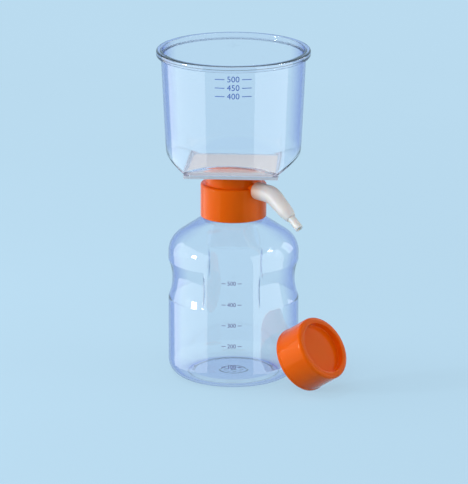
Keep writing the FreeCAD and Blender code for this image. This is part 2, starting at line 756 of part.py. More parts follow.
def build_funnel():
    """Round tapered cup whose foot four sloping facets bring in to a square, with a rim bead and
    a lid seat at the mouth. Outside and inside are built alike and cut from each other."""
    wall = sizes.cup_wall
    reach = places.rim_radius + wall
    across = reach * 2
    outer = combine("MultiCommon", "FunnelOutside", [
        funnel_cone("CupOutside", 0, 0),
        funnel_prism("FacetsX", sizes.plate_half, sizes.facet_rise, across, reach, False),
        funnel_prism("FacetsY", sizes.plate_half, sizes.facet_rise, across, reach, True),
    ])
    top = places.funnel_top
    bead = disc("RimBead", places.rim_radius, top - sizes.rim_height, top)
    body = combine("MultiFuse", "FunnelBlank", [outer, bead])
    # the inner facets lie one wall behind the outer ones, measured square to them
    inner_rise = (
        sizes.facet_rise
        - sizes.square_wall * tangent(sizes.facet_angle)
        + wall / cosine(sizes.facet_angle)
    )
    inner_half, inner_reach = sizes.plate_half - sizes.square_wall, places.rim_radius
    hollow = combine("MultiCommon", "FunnelHollow", [
        funnel_cone("CupInside", wall, wall),
        funnel_prism("InnerFacetsX", inner_half, inner_rise, across, inner_reach, False),
        funnel_prism("InnerFacetsY", inner_half, inner_rise, across, inner_reach, True),
    ])
    seat = disc("LidSeat", places.cup_top_radius - sizes.lid_seat_inset,
                top - sizes.lid_seat_depth, top + sizes.rim_height)
    hollowed = cut("FunnelHollowed", body, hollow)
    seated = cut("FunnelSeated", hollowed, seat)
    funnel = doc.addObject("Part::Fillet", "funnel")
    funnel.Label = "funnel"
    funnel.Base = seated
    rounded = edges_to_round(seated.Shape)
    funnel.Edges = [(index, radius, radius) for index, radius in rounded]
    doc.recompute()
    return funnel


def edges_to_round(shape):
    """The two outer circles of the rim bead, and the four upright corners of the square."""
    found = []
    corner, rim = sizes.plate_half.value, places.rim_radius.value
    for index, edge in enumerate(shape.Edges, start=1):
        box = edge.BoundBox
        level = box.ZLength < CLOSE
        upright = box.XLength < CLOSE and box.YLength < CLOSE
        at_corner = max(abs(abs(box.Center.x) - corner), abs(abs(box.Center.y) - corner)) < CLOSE
        if level and abs(box.XMax - rim) < CLOSE:
            found.append((index, sizes.rim_edge.value))
        elif upright and at_corner:
            found.append((index, sizes.square_corner.value))
    return found


def build_cap():
    """Screw cap with a hollow in its top, a seal ring for the neck's bore and a bead at its open
    edge. Built upright with its open edge at zero, then leant on the bottle."""
    body = new_body("screw_cap")
    bore = places.skirt_bore
    outer, height, edge = bore + sizes.cap_wall, sizes.cap_height, sizes.cap_edge
    recess = height - sizes.cap_recess_depth
    ceiling = recess - sizes.cap_top_wall
    seal_outer = places.neck_bore - sizes.cap_seal_gap
    seal_inner = seal_outer - sizes.cap_seal_wall
    seal_bottom = ceiling - sizes.cap_seal_height
    section = [
        (0, ceiling),
        (seal_inner, ceiling),
        (seal_inner, seal_bottom),
        (seal_outer, seal_bottom),
        (seal_outer, ceiling),
        (bore, ceiling),
        (bore, 0),
        (outer + sizes.cap_bead, 0),
        (outer + sizes.cap_bead, sizes.cap_bead_height - sizes.cap_bead),
        (outer, sizes.cap_bead_height),
        (outer, height - edge, edge, +1),
        (outer - edge, height),
        (outer - sizes.cap_ring_width, height),
        (outer - sizes.cap_ring_width, recess),
        (0, recess),
    ]
    turned(body, "Shell", section)
    worn_height = places.mouth - ceiling
    thread(body, "CapThread", bore, -sizes.skirt_thread_height,
           meshing_start(sizes.bottle_turn) - worn_height)
    lean, azimuth = sizes.cap_lean, sizes.cap_azimuth
    rim = outer + sizes.cap_bead
    away = sizes.bottle_radius + sizes.cap_rest_gap + rim * sine(lean)
    tilt = FreeCAD.Rotation(FreeCAD.Vector(0, 1, 0), RIGHT_ANGLE - lean.value)
    turn = FreeCAD.Rotation(AXIS_TURN, azimuth.value)
    body.Placement = FreeCAD.Placement(FreeCAD.Vector(), turn.multiply(tilt))
    bind(body, "Placement.Base.x", away * cosine(azimuth))
    bind(body, "Placement.Base.y", away * sine(azimuth))
    bind(body, "Placement.Base.z", rim * cosine(lean))
    return body


def check_and_export(pieces):
    """Stop on any failed object, then write each piece to its own file."""
    doc.recompute()
    for thing in doc.Objects:
        if "Invalid" in thing.State or "Error" in thing.State:
            raise RuntimeError(f"{thing.Name} failed: {thing.State}")
    for piece in pieces:
        shape = piece.Shape
        if shape.isNull() or not shape.isValid() or len(shape.Solids) != 1:
            raise RuntimeError(f"{piece.Label} is not one sound solid")
    os.makedirs(PARTS_FOLDER, exist_ok=True)
    for piece in pieces:
        piece.Shape.exportStep(os.path.join(PARTS_FOLDER, piece.Label + ".step"))
        print(f"{piece.Label}: {piece.Shape.Volume / 1000:.2f} cm3")


doc = FreeCAD.newDocument("vacuum_filtration_unit")
sizes = Sheet(doc, SIZES)
places = Places(sizes)
check_and_export([
    build_bottle(),
    build_gasket(),
    build_adapter(),
    build_connector(),
    build_vent_plug(),
    build_support_plate(),
    build_membrane(),
    build_funnel(),
    build_cap(),
])
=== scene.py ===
"""Finishes of the vacuum filtration unit.

The bottle, the head screwed on it, the funnel and the loose cap are surfaces worked
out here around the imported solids, and the plain inner parts keep their own meshes.
Lengths are in millimetres until a surface becomes a mesh, and angles in degrees until
they are used.
"""

import logging
import math
from collections.abc import Callable, Sequence
from dataclasses import dataclass, field
from enum import Enum
from functools import cached_property

import bmesh
import bpy
import numpy as np
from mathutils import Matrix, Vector


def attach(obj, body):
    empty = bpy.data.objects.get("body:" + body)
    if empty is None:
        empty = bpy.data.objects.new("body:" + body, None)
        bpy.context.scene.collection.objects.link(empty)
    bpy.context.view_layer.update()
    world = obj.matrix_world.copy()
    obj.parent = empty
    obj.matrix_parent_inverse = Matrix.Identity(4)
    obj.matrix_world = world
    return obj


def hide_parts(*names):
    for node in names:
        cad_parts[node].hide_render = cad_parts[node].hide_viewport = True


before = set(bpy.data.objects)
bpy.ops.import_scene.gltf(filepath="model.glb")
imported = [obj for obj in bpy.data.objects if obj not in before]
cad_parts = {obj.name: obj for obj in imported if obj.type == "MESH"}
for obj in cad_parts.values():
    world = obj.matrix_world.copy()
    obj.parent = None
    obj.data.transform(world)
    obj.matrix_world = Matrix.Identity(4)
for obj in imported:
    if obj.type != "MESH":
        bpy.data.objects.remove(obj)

Array = np.ndarray
Length = np.ndarray | float
Colour = tuple[float, float, float]
Range = tuple[float, float]
Point = tuple[float, float, float]
Material = bpy.types.Material
Socket = bpy.types.NodeSocket

MM = 0.001
FULL_TURN = 2.0 * math.pi
# Points of a running sum, round a turn and along a section.
FINE_AZIMUTHS = 7201
FINE_STATIONS = 12001
# Least cosine divided by, so that a face seen edge on stays finite.
LEAST_COSINE = 1e-3
# How strongly polystyrene bends light.
POLYSTYRENE_BEND = 1.59
# Height of the thread ridges inside the collar and the cap.
INNER_RIDGE = 1.05
# Height of a capital as a share of the built-in face's size.
CAPITAL_SHARE = 0.69
# How far the band pattern turns in a metre where its scale is 1.
WAVE_RADIANS = 20.0
log = logging.getLogger("filtration_unit")


class Body(Enum):
    """The moving groups that the pieces made here ride on."""

    BOTTLE = "bottle"
    HEAD = "filter_head"
    CONNECTOR = "connector"


class Slot(Enum):
    """The finishes that the unit's record names for the pieces made here."""

    CLEAR = "clear_plastic"
    ORANGE = "orange_plastic"
    WHITE = "white_plastic"


# ---- shapes in numbers


def eased(share: Array) -> Array:
    """A share held between 0 and 1 and eased at both ends: three squares less two cubes."""
    held = np.clip(share, 0.0, 1.0)
    return held * held * (3.0 - 2.0 * held)


def soft_min(first: Length, second: Length, width: Length) -> Length:
    """The lesser of two lengths, with the corner between them rounded over a width.

    Half of their sum less the root of their difference squared plus the width squared.
    """
    return 0.5 * (first + second - np.sqrt((first - second) ** 2 + width * width))


def soft_max(first: Length, second: Length, width: Length) -> Length:
    """The greater of two lengths with the corner between them rounded, as soft_min is."""
    return -soft_min(-first, -second, width)


def unit(vector: Array) -> Array:
    """A vector, or each row of vectors, made 1 long."""
    return vector / np.linalg.norm(vector, axis=-1, keepdims=True)


def bell(away: Array, width: float) -> Array:
    """A bell 1 high: e to the power of minus the squared distance in widths."""
    return np.exp(-((away / width) ** 2))


def risen(length: Array, width: float, cut: float) -> Array:
    """A length where it is above 0, with its corner there rounded and the tail cut off."""
    return np.maximum(soft_max(length, 0.0, width) - cut, 0.0)


def around(count: int, focus: Sequence[float] = (), width: float = 3.0,
           gain: float = 0.0) -> Array:
    """Azimuths round a full turn, closer together near chosen ones.

    The density is one plus a bell of the given gain at each chosen azimuth, and equal
    steps of its running sum give the azimuths.

    Args:
        count: How many azimuths.
        focus: The chosen azimuths in degrees.
        width: Half width of each bell in degrees.
        gain: Height of each bell.

    Returns:
        The azimuths in radians, rising, as one row.
    """
    fine = np.linspace(-180.0, 180.0, FINE_AZIMUTHS)
    away = (fine[:, None] - np.asarray(focus, float)[None, :] + 180.0) % 360.0 - 180.0
    density = 1.0 + gain * bell(away, width).sum(1)
    total = np.concatenate([[0.0], np.cumsum((density[1:] + density[:-1]) / 2)])
    places = np.interp(np.arange(count) / count * total[-1], total, fine)
    return np.radians(places)[None, :]


@dataclass(frozen=True)
class Corner:
    """A corner of a half section: distance from the axis, height, and rounding."""

    out: float
    up: float
    rounding: float = 0.0


def rounded(corners: Sequence[Corner], closed: bool = False, steps: int = 6,
            support: float = 0.3) -> Array:
    """A half section with its corners rounded.

    Each rounding is the arc that touches both runs, and a point stands a little way
    along each run beside it, so that the shading of the run stays flat.

    Args:
        corners: The corners in order.
        closed: Whether the last runs back to the first.
        steps: Chords in each arc.
        support: Distance of the point beside an arc.

    Returns:
        Points of the section, one row each: distance from the axis and height.
    """
    place = np.array([(c.out, c.up) for c in corners])
    count = len(corners)
    arcs: list[Array] = []
    for index, corner in enumerate(corners):
        if corner.rounding <= 0 or (not closed and index in (0, count - 1)):
            arcs.append(place[index][None, :])
            continue
        back = unit(place[index - 1] - place[index])
        ahead = unit(place[(index + 1) % count] - place[index])
        half = 0.5 * math.acos(float(np.clip(back @ ahead, -1.0, 1.0)))
        centre = place[index] + unit(back + ahead) * corner.rounding / math.sin(half)
        reach = corner.rounding / math.tan(half)
        first = (place[index] + back * reach - centre) / corner.rounding
        last = (place[index] + ahead * reach - centre) / corner.rounding
        sweep = math.pi - 2.0 * half
        share = np.linspace(0.0, 1.0, steps + 1)[:, None]
        turn = np.sin((1 - share) * sweep) * first + np.sin(share * sweep) * last
        arcs.append(centre + corner.rounding * turn / math.sin(sweep))
    pieces: list[Array] = []
    for index, arc in enumerate(arcs):
        pieces.append(arc)
        if not closed and index == count - 1:
            break
        gap = arcs[(index + 1) % count][0] - arc[-1]
        length = float(np.linalg.norm(gap))
        if length > 3.0 * support:
            step = gap / length * support
            pieces.append(np.stack([arc[-1] + step, arcs[(index + 1) % count][0] - step]))
    return np.vstack(pieces)


def refined(section: Array, step_at: Callable[[Array, Array], Array],
            closed: bool = False, clear_of: float = 0.35) -> Array:
    """A section with more points where a finer step is asked for.

    The running sum of one over the step is cut at whole numbers, and a cut is kept where
    no point of the section is near.

    Args:
        section: Points of the section.
        step_at: Gives the step wanted at a distance from the axis and a height.
        closed: Whether the last point runs back to the first.
        clear_of: Share of a step that a new point keeps from an old one.

    Returns:
        The section with the new points in place.
    """
    line = np.vstack([section, section[:1]]) if closed else section
    runs = np.linalg.norm(np.diff(line, axis=0), axis=1)
    stations = np.concatenate([[0.0], np.cumsum(runs)])
    fine = np.linspace(0.0, stations[-1], FINE_STATIONS)
    out, up = (np.interp(fine, stations, line[:, axis]) for axis in (0, 1))
    step = step_at(out, up)
    total = np.concatenate([[0.0], np.cumsum(np.diff(fine) / step[1:])])
    extra = np.interp(np.arange(1, int(total[-1])), total, fine)
    wanted = np.interp(extra, fine, step)
    near = np.searchsorted(stations, extra)
    gap = np.minimum(extra - stations[near - 1], stations[near] - extra)
    places = np.sort(np.concatenate([stations, extra[gap > clear_of * wanted]]))
    points = np.stack([np.interp(places, stations, line[:, axis]) for axis in (0, 1)], 1)
    return points[:-1] if closed else points


@dataclass(frozen=True)
class Zone:
    """A part of a half section, by height and distance from the axis, with its own step."""

    step: float
    low: float = -math.inf
    high: float = math.inf
    inner: float = -math.inf
    outer: float = math.inf


def zones(coarse: float, *parts: Zone) -> Callable[[Array, Array], Array]:
    """A step rule for refined: a coarse step, and another in each zone.

    Args:
        coarse: The step outside every zone.
        parts: The zones, of which a later one wins.

    Returns:
        The rule.
    """
    def step_at(out: Array, up: Array) -> Array:
        """The step at points of the section.

        Args:
            out: Their distances from the axis.
            up: Their heights.

        Returns:
            The step at each.
        """
        step = np.full_like(up, coarse)
        for part in parts:
            level = (up >= part.low) & (up <= part.high)
            step = np.where(level & (out > part.inner) & (out < part.outer), part.step, step)
        return step
    return step_at


def out_and_up(section: Array) -> tuple[Array, Array]:
    """A section's distances from the axis and its heights, each as a column."""
    return section[:, :1], section[:, 1:]


def turned(out: Array, up: Array, azimuth: Array) -> Array:
    """Points of a surface of revolution: distance and height by row, azimuth by column."""
    up = np.broadcast_to(up, np.broadcast_shapes(np.shape(out), np.shape(azimuth)))
    return np.stack([out * np.cos(azimuth), out * np.sin(azimuth), up + 0.0 * out], -1)


def swung(points: Array, azimuth: float) -> Array:
    """Points turned about the upright axis by an azimuth in degrees."""
    c, s = math.cos(math.radians(azimuth)), math.sin(math.radians(azimuth))
    return points @ np.array([[c, s, 0.0], [-s, c, 0.0], [0.0, 0.0, 1.0]])


@dataclass(frozen=True)
class Thread:
    """A single moulded ridge that climbs a wall, with its middle at start at azimuth 0."""

    start: float
    height: float
    lead: float = 5.0
    turns: float = 1.25
    base: float = 2.2
    crest: float = 1.0
    run_out: float = 0.05

    def rise(self, up: Array, azimuth: Array) -> Array:
        """How far the ridge stands off the wall.

        Its middle climbs one lead a turn. The section is a trapezoid with eased
        shoulders, and it runs out over a small share of a turn at both ends.

        Args:
            up: Heights of the points.
            azimuth: Azimuths of the points in radians.

        Returns:
            The rise at each point.
        """
        first = np.mod(azimuth, FULL_TURN) / FULL_TURN
        rise = np.zeros(np.broadcast_shapes(np.shape(up), np.shape(azimuth)))
        for lap in range(math.ceil(self.turns) + 1):
            along = first + lap
            away = np.abs(up - self.start - self.lead * along)
            flank = (self.base / 2 - away) / ((self.base - self.crest) / 2)
            ends = eased(along / self.run_out) * eased((self.turns - along) / self.run_out)
            rise = np.maximum(rise, self.height * eased(flank) * ends)
        return rise


def threaded_bore(line: Array, reach: Zone, thread: Thread, count: int,
                  closed: bool = False) -> Array:
    """A surface of revolution with a ridge that stands in from its bore.

    Args:
        line: The half section with its corners rounded.
        reach: The part of the bore that the ridge climbs, with its own step.
        thread: The ridge.
        count: How many azimuths.
        closed: Whether the last point of the section runs back to the first.

    Returns:
        The points, by row and column.
    """
    out, up = out_and_up(refined(line, zones(5.0, reach), closed))
    azimuth = around(count)
    bored = (out > reach.inner) & (out < reach.outer)
    return turned(out - np.where(bored, thread.rise(up, azimuth), 0.0), up, azimuth)


# ---- meshes


def placed(name: str, data: bpy.types.ID) -> bpy.types.Object:
    """Makes an object and puts it in the scene.

    Args:
        name: The object's name.
        data: Its mesh, curve, lamp or camera.

    Returns:
        The object.
    """
    shown = bpy.data.objects.new(name, data)
    bpy.context.scene.collection.objects.link(shown)
    return shown


def ring_faces(number: Array) -> list[list[int]]:
    """The faces of a grid of point numbers whose columns go round.

    A face joins two neighbouring rows and two neighbouring columns, and a point that it
    meets twice, at a pole, counts once.

    Args:
        number: The number of the point at each row and column.

    Returns:
        The corner numbers of each face.
    """
    after = np.roll(number, -1, axis=1)
    quads = np.stack([number[:-1], after[:-1], after[1:], number[1:]], -1)
    return [list(dict.fromkeys(quad)) for quad in quads.reshape(-1, 4).tolist()]


@dataclass
class Piece:
    """A named piece put together from grids of points and made one mesh."""

    name: str
    body: Body
    slot: Slot
    stands_for: tuple[str, ...] = ()
    points: list[Array] = field(default_factory=list)
    faces: list[list[int]] = field(default_factory=list)

    def add(self, points: Array, faces: Sequence[Sequence[int]]) -> None:
        """Adds points and the faces between them.

        Args:
            points: The points, one row each.
            faces: Corner numbers of each face, counted from this call's first point.
        """
        start = sum(len(earlier) for earlier in self.points)
        self.faces.extend([[start + number for number in face] for face in faces])
        self.points.append(np.asarray(points, float).reshape(-1, 3))

    def add_grid(self, grid: Array, loop: bool = False, poles: bool = False) -> None:
        """Adds a surface from a grid whose columns go round.

        The outside is on the right of the direction in which the rows run, seen with the
        columns going anticlockwise.

        Args:
            grid: The points by row and column.
            loop: Whether the last row joins the first.
            poles: Whether the first and last rows are single points.
        """
        rows, across = grid.shape[:2]
        flat = grid.reshape(-1, 3)
        number = np.arange(rows * across).reshape(rows, across)
        if poles:
            flat = np.vstack([grid[0, :1], grid[1:-1].reshape(-1, 3), grid[-1, :1]])
            number = np.clip(number - across + 1, 0, len(flat) - 1)
        if loop:
            number = np.vstack([number, number[:1]])
        self.add(flat, ring_faces(number))

    def finish(self, material: Material, bonded: Material | None = None,
               bonded_count: int = 0) -> bpy.types.Object:
        """Makes the mesh, dresses it and hangs it on its body.

        Args:
            material: The finish.
            bonded: The finish of the last faces, where the piece is bonded to another.
            bonded_count: How many faces that is.

        Returns:
            The finished object.
        """
        mesh = bpy.data.meshes.new(self.name)
        mesh.from_pydata((np.vstack(self.points) * MM).tolist(), [], self.faces)
        mesh.polygons.foreach_set("use_smooth", np.ones(len(mesh.polygons), bool))
        mesh.materials.append(material)
        if bonded is not None:
            mesh.materials.append(bonded)
            places = np.arange(len(mesh.polygons)) >= len(mesh.polygons) - bonded_count
            mesh.polygons.foreach_set("material_index", places.astype(np.int32))
        mesh.update()
        shown = placed(self.name, mesh)
        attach(shown, self.body.value)
        if self.stands_for:
            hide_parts(*self.stands_for)
        log.info("%s: %d points, %d faces", self.name, len(mesh.vertices), len(mesh.polygons))
        return shown


# ---- finishes


class Nodes:
    """Short calls for the shader nodes of one material or of the world."""

    def __init__(self, owner: Material | bpy.types.World) -> None:
        """Empties the owner's node tree.

        Args:
            owner: The material or world.
        """
        self.owner = owner
        owner.use_nodes = True
        self.tree = owner.node_tree
        self.tree.nodes.clear()

    @cached_property
    def coordinates(self) -> Socket:
        """The object's own coordinates."""
        return self.add("TexCoord").outputs["Object"]

    def add(self, kind: str, **values: object) -> bpy.types.Node:
        """Adds a node.

        Args:
            kind: The node's type without its ShaderNode prefix.
            values: Its settings, and values or outputs for its inputs, by identifier with
                underscores for spaces. An input given None stays as it is.

        Returns:
            The node.
        """
        node = self.tree.nodes.new("ShaderNode" + kind)
        inputs = {socket.identifier.replace(" ", "_"): socket for socket in node.inputs}
        for name, value in values.items():
            if name not in inputs:
                setattr(node, name, value)
            elif isinstance(value, Socket):
                self.tree.links.new(value, inputs[name])
            elif value is not None:
                colour = inputs[name].type == "RGBA"
                inputs[name].default_value = (*value, 1.0) if colour else value
        return node

    def noise(self, scale: float, detail: float = 2.0,
              stretch: Colour = (1.0, 1.0, 1.0)) -> Socket:
        """A cloud pattern, scale lumps to a metre, with each axis multiplied by the stretch."""
        place = self.add("Mapping", Vector=self.coordinates, Scale=stretch).outputs[0]
        return self.add("TexNoise", Vector=place, Scale=scale, Detail=detail).outputs[0]

    def between(self, strength: Socket, low: float, high: float,
                start: float = 0.3, stop: float = 0.7) -> Socket:
        """The stretch of a pattern's strength from start to stop, spread over low to high."""
        return self.add("MapRange", Value=strength, From_Min=start, From_Max=stop,
                        To_Min=low, To_Max=high).outputs[0]

    def blend(self, strength: Socket, first: Colour | Socket, second: Colour) -> Socket:
        """A colour that goes from the first to the second as a strength goes from 0 to 1."""
        return self.add("Mix", data_type="RGBA", Factor_Float=strength, A_Color=first,
                        B_Color=second).outputs[2]

    def bumps(self, height: Socket, depth: float, under: Socket | None = None) -> Socket:
        """A direction tilted by a height pattern of that depth, laid over the one under it."""
        return self.add("Bump", Height=height, Distance=depth * MM, Strength=1.0,
                        Normal=under).outputs[0]

    def worked(self, operation: str, first: Socket, second: Socket) -> Socket:
        """Two values put together by one of the Math node's operations, such as ADD."""
        return self.add("Math", operation=operation, Value=first, Value_001=second).outputs[0]

    def mixed(self, share: Socket, first: bpy.types.Node,
              second: bpy.types.Node) -> bpy.types.Node:
        """A shader that goes from the first to the second as a share goes from 0 to 1."""
        return self.add("MixShader", Fac=share, Shader=first.outputs[0],
                        Shader_001=second.outputs[0])

    def lit_through(self, shader: bpy.types.Node, shadow: Colour) -> bpy.types.Node:
        """A shader that lets a share of each colour of lamp light pass on behind it."""
        clear = self.add("BsdfTransparent", Color=shadow)
        return self.mixed(self.add("LightPath").outputs["Is Shadow Ray"], shader, clear)

    def seen(self) -> Socket:
        """1 for what the eye meets, also through clear walls and in glossy ones, else 0."""
        path = self.add("LightPath").outputs
        first = self.worked("ADD", path["Is Camera Ray"], path["Is Transmission Ray"])
        return self.worked("ADD", first, path["Is Glossy Ray"])

    def close(self, surface: bpy.types.Node,
              volume: bpy.types.Node | None = None) -> Material | bpy.types.World:
        """Joins the shaders to the output.

        Args:
            surface: The shader of the surface.
            volume: The shader of what is inside it.

        Returns:
            The finished material or world.
        """
        kind = "OutputWorld" if isinstance(self.owner, bpy.types.World) else "OutputMaterial"
        self.add(kind, Surface=surface.outputs[0], Volume=volume and volume.outputs[0])
        return self.owner

    def plastic(self, **values: object) -> Material:
        """The finished material of one Principled shader with those inputs."""
        return self.close(self.add("BsdfPrincipled", **values))


@dataclass(frozen=True)
class Finish:
    """A named finish. Each kind has a method material, which makes it."""

    name: str

    def nodes(self) -> Nodes:
        """The nodes of an empty material of that name."""
        return Nodes(bpy.data.materials.new(self.name))


@dataclass(frozen=True)
class ClearPolystyrene(Finish):
    """Clear moulded polystyrene: glossy, faintly wavy, bluer where a wall is seen slantwise.

    The edge colour is painted shade: a darker blue laid into the base colour over the
    grazing range of slant, and above the height tinted_from, in metres, for the dark
    edges that reflections and the longer path through the wall give.
    """

    flat: Colour = (0.985, 0.99, 1.0)
    # Painted shade: the darker blue that slant views of the wall take.
    edge: Colour = (0.08, 0.13, 0.70)
    shadow: Colour = (0.965, 0.972, 0.985)
    inside: Colour = (0.42, 0.44, 0.88)
    density: float = 22.0
    waves: float = 0.05
    haze: Range = (0.015, 0.05)
    painted_edge_slant: Range = (0.42, 0.92)
    tinted_from: float = -1.0
    tint_rise: float = 0.006

    def material(self) -> Material:
        """The material, with lamp light let through behind it."""
        nodes = self.nodes()
        wave = nodes.noise(22.0, 1.5, (1.0, 1.0, 0.45))
        normal = nodes.bumps(wave, self.waves)
        haze = nodes.between(nodes.noise(160.0, 3.0), *self.haze)
        # Painted shade: the base colour darkens to the edge colour where the wall is seen at a
        # slant.
        slant = nodes.add("LayerWeight", Blend=0.5, Normal=normal).outputs["Facing"]
        share = nodes.between(slant, 0.0, 1.0, *self.painted_edge_slant)
        up = nodes.add("SeparateXYZ", Vector=nodes.coordinates).outputs["Z"]
        above = nodes.between(up, 0.0, 1.0, self.tinted_from, self.tinted_from + self.tint_rise)
        painted_edge_colour = nodes.blend(nodes.worked("MULTIPLY", share, above), self.flat, self.edge)
        shader = nodes.add("BsdfPrincipled", Base_Color=painted_edge_colour, Roughness=haze, Normal=normal,
                           IOR=POLYSTYRENE_BEND, Transmission_Weight=1.0)
        body = nodes.add("VolumeAbsorption", Color=self.inside, Density=self.density)
        return nodes.close(nodes.lit_through(shader, self.shadow), body)


@dataclass(frozen=True)
class FrostedPolystyrene(Finish):
    """The same plastic with a fine matt skin, which holds light and reads as pale."""

    base: Colour = (0.90, 0.90, 0.96)
    shadow: Colour = (0.60, 0.61, 0.65)
    satin: Range = (0.30, 0.42)
    passed: float = 0.35

    def material(self) -> Material:
        """The material, with some lamp light let through behind it."""
        nodes = self.nodes()
        satin = nodes.between(nodes.noise(260.0, 3.0), *self.satin)
        grain = nodes.bumps(nodes.noise(1500.0, 2.0), 0.004)
        shader = nodes.add("BsdfPrincipled", Base_Color=self.base, Roughness=satin,
                           Normal=grain, IOR=POLYSTYRENE_BEND,
                           Transmission_Weight=self.passed)
        return nodes.close(nodes.lit_through(shader, self.shadow))


@dataclass(frozen=True)
class MouldedPolypropylene(Finish):
    """Coloured polypropylene, glossy and a little wavy, with some light in its skin."""

    base: Colour = (0.89, 0.130, 0.002)
    deep: Colour = (0.83, 0.108, 0.001)
    glow: float = 0.2
    satin: Range = (0.09, 0.13)
    waves: float = 0.09
    mirror: float = 0.22
    mirrored: Colour = (1.0, 0.50, 0.22)

    def material(self) -> Material:
        """The material."""
        nodes = self.nodes()
        colour = nodes.blend(nodes.noise(45.0, 3.0), self.base, self.deep)
        grain = nodes.bumps(nodes.noise(1800.0, 2.0), 0.003)
        wave = nodes.noise(55.0, 1.0, (1.0, 1.0, 0.4))
        normal = nodes.bumps(wave, self.waves, grain)
        satin = nodes.between(nodes.noise(80.0, 3.0), *self.satin)
        return nodes.plastic(Base_Color=colour, Roughness=satin, IOR=1.49, Normal=normal,
                             Subsurface_Weight=self.glow, Subsurface_Radius=(1.0, 0.3, 0.05),
                             Subsurface_Scale=0.002, Specular_IOR_Level=self.mirror,
                             Specular_Tint=self.mirrored)


@dataclass(frozen=True)
class MilkyPolyethylene(Finish):
    """Natural polyethylene: warm white, and a little light comes through it.

    The orange of the stub is painted on as the lit colour, a painted show-through and
    reflection of the stub, which fades over the stub range of distance from the axis, in
    metres, in the direction that the port points.
    """

    base: Colour = (0.74, 0.67, 0.62)
    cool: Colour = (0.72, 0.68, 0.66)
    # Painted show-through and reflection of the orange stub.
    painted_stub_orange: Colour = (0.66, 0.30, 0.15)
    painted_stub_share: float = 0.8
    stub: Range = (0.027, 0.037)
    satin: Range = (0.36, 0.46)
    glow: float = 0.75

    def material(self) -> Material:
        """The material, with the painted orange of the stub near it."""
        nodes = self.nodes()
        colour = nodes.blend(nodes.noise(90.0, 3.0), self.base, self.cool)
        # Painted show-through and reflection: the orange of the stub inside, laid into the
        # sleeve's colour near the stub.
        reach = nodes.add("VectorMath", operation="DOT_PRODUCT", Vector=nodes.coordinates,
                          Vector_001=(math.sqrt(0.5), -math.sqrt(0.5), 0.0))
        share = nodes.between(reach.outputs["Value"], self.painted_stub_share, 0.0, *self.stub)
        colour = nodes.blend(share, colour, self.painted_stub_orange)
        grain = nodes.bumps(nodes.noise(1200.0, 2.0), 0.006)
        satin = nodes.between(nodes.noise(240.0, 3.0), *self.satin)
        return nodes.plastic(Base_Color=colour, Roughness=satin, IOR=1.51, Normal=grain,
                             Subsurface_Weight=self.glow, Subsurface_Radius=(1.0, 0.7, 0.5),
                             Subsurface_Scale=0.004)


@dataclass(frozen=True)
class FilterSheet(Finish):
    """Matt white membrane with the plate's ribs faintly showing through, a pitch apart."""

    base: Colour = (0.93, 0.92, 0.92)
    pale: Colour = (0.96, 0.95, 0.95)
    pitch: float = 4.54

    def material(self) -> Material:
        """The material."""
        nodes = self.nodes()
        colour = nodes.blend(nodes.noise(60.0, 2.0), self.base, self.pale)
        ribs = nodes.add("TexWave", bands_direction="X", Vector=nodes.coordinates,
                         Scale=FULL_TURN / (WAVE_RADIANS * self.pitch * MM))
        low = nodes.bumps(ribs.outputs[1], 0.03)
        normal = nodes.bumps(nodes.noise(1500.0, 3.0), 0.01, low)
        return nodes.plastic(Base_Color=colour, Roughness=0.85, Normal=normal)


@dataclass(frozen=True)
class SoftSeal(Finish):
    """Matt off-white silicone."""

    base: Colour = (0.76, 0.74, 0.70)
    dull: Colour = (0.70, 0.68, 0.65)
    matt: Range = (0.5, 0.7)

    def material(self) -> Material:
        """The material."""
        nodes = self.nodes()
        colour = nodes.blend(nodes.noise(200.0, 3.0), self.base, self.dull)
        rough = nodes.between(nodes.noise(500.0, 3.0), *self.matt)
        return nodes.plastic(Base_Color=colour, Roughness=rough,
                             Normal=nodes.bumps(nodes.noise(900.0, 2.0), 0.02))


@dataclass(frozen=True)
class CottonPlug(Finish):
    """Pressed white fibre."""

    hollows: Colour = (0.86, 0.85, 0.82)
    strands: Colour = (0.93, 0.93, 0.91)

    def material(self) -> Material:
        """The material."""
        nodes = self.nodes()
        strands = nodes.noise(900.0, 6.0, (1.0, 1.0, 4.0))
        colour = nodes.blend(strands, self.hollows, self.strands)
        return nodes.plastic(Base_Color=colour, Roughness=0.95, Sheen_Weight=0.4,
                             Normal=nodes.bumps(strands, 0.15))


@dataclass(frozen=True)
class PrintedInk(Finish):
    """Screen-printed ink, a little uneven."""

    full: Colour
    thin: Colour

    def material(self) -> Material:
        """The material."""
        nodes = self.nodes()
        colour = nodes.blend(nodes.noise(900.0, 4.0), self.full, self.thin)
        return nodes.plastic(Base_Color=colour, Roughness=0.45,
                             Normal=nodes.bumps(nodes.noise(2500.0, 2.0), 0.01))


# ---- the unit's pieces


